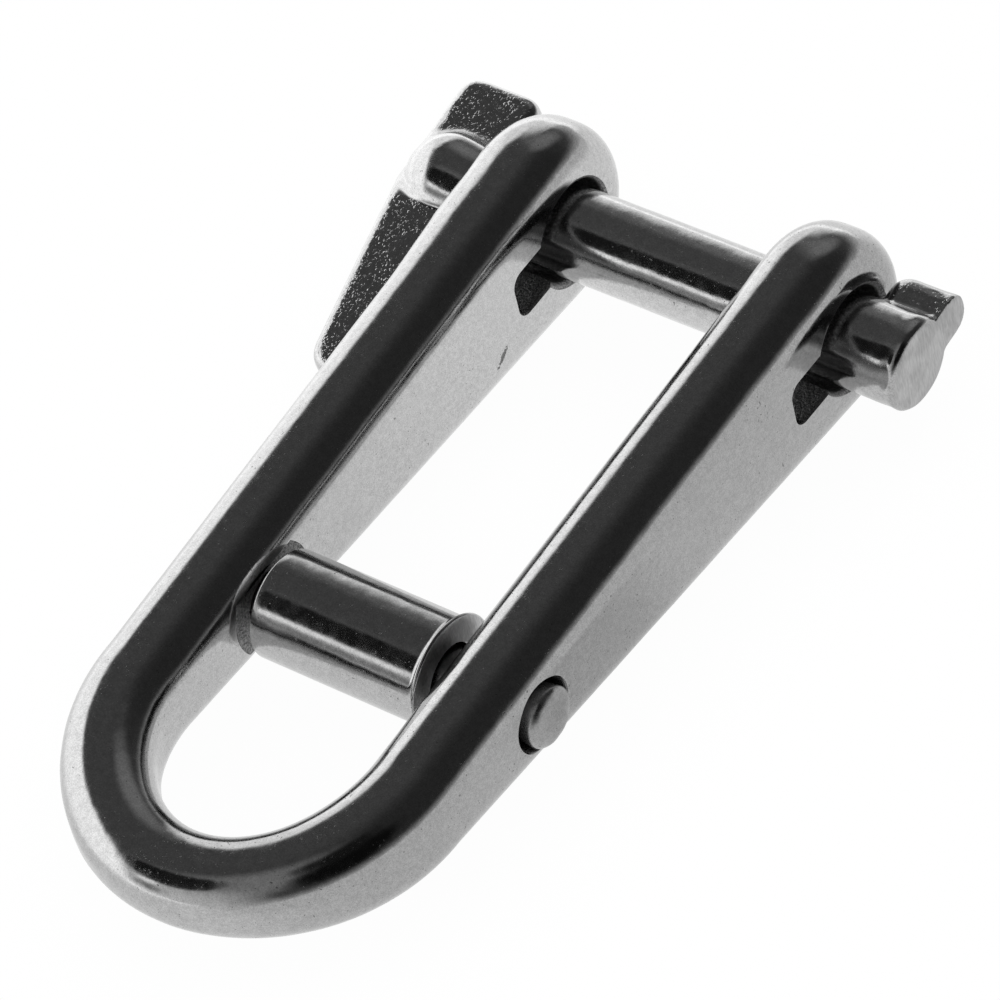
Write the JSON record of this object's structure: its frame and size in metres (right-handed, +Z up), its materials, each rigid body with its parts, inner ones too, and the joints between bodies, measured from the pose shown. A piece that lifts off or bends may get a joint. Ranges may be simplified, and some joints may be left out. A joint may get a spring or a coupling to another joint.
{
  "type": "dee shackle",
  "caption": "Long dee shackle in polished cast steel, with a captive key pin turned by a side lever and a riveted cross bar that carries a loose sleeve.",
  "frame": {"origin": "bottom centre of the bounding box, with the shackle lying on its side and the plane of the bow level", "axes": "+X along the key pin, from its lever to its key tab; +Y from the crown of the bow towards the eyes; +Z up, square to the plane of the bow"},
  "size_m": [0.0394, 0.0643, 0.0132],
  "materials": {
    "bow_steel": "tumble-polished casting, near mirror, with fine pits",
    "key_pin_steel": "polished shaft and rims, with rough cast faces left on the lever and the key tab",
    "rivet_steel": "bright, peened at the ends",
    "sleeve_steel": "polished tube"
  },
  "bodies": {
    "bow": {"bow": "bow_steel", "bar_rivet": "rivet_steel"},
    "key_pin": {"key_pin": "key_pin_steel"},
    "sleeve": {"bar_sleeve": "sleeve_steel"}
  },
  "joints": [
    {"name": "key_pin_turn", "type": "hinge", "parent": "bow", "child": "key_pin", "pos_m": [0.0011, 0.02465, 0.0066], "axis": [1, 0, 0], "continuous": true},
    {"name": "sleeve_spin", "type": "hinge", "parent": "bow", "child": "sleeve", "pos_m": [0.0011, -0.0091, 0.0066], "axis": [1, 0, 0], "continuous": true}
  ]
}
